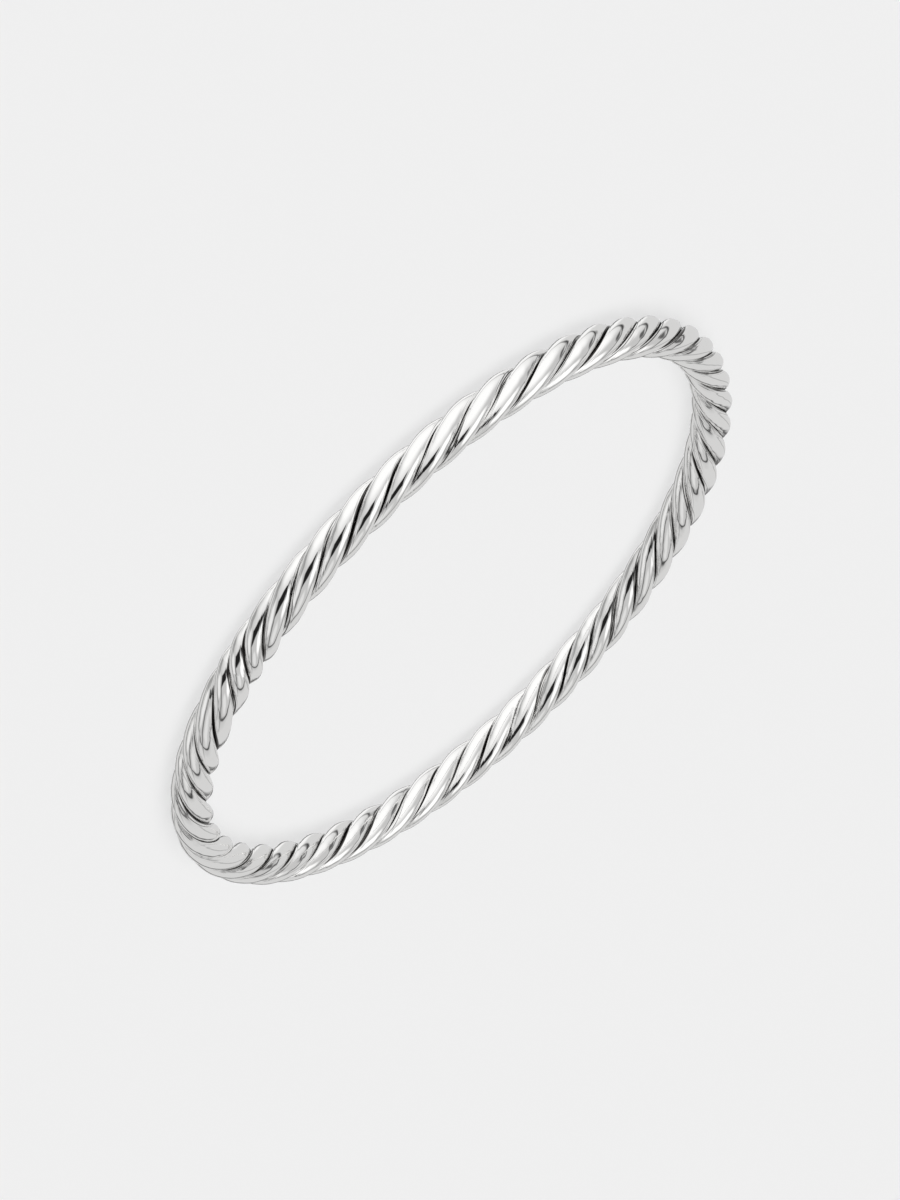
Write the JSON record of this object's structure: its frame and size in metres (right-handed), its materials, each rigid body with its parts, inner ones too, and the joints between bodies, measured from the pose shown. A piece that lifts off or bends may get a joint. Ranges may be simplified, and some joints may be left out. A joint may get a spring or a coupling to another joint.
{
  "type": "twisted wire bangle",
  "caption": "Closed round bangle of thick polished silver wires twisted together as a rope and joined end to end, with no clasp.",
  "frame": {"origin": "on the surface that the bangle lies on, under the middle of its box", "axes": "+Z along the axis of the loop, up from the surface; +X and +Y in the plane of the loop, with -Y the side nearest the camera"},
  "size_m": [0.0706, 0.0706, 0.004],
  "materials": {
    "polished_silver": "mirror polished sterling silver, darker down in the seams between the wires"
  },
  "bodies": {
    "root": {"wire_1": "polished_silver", "wire_2": "polished_silver", "wire_3": "polished_silver", "wire_4": "polished_silver"}
  },
  "joints": []
}
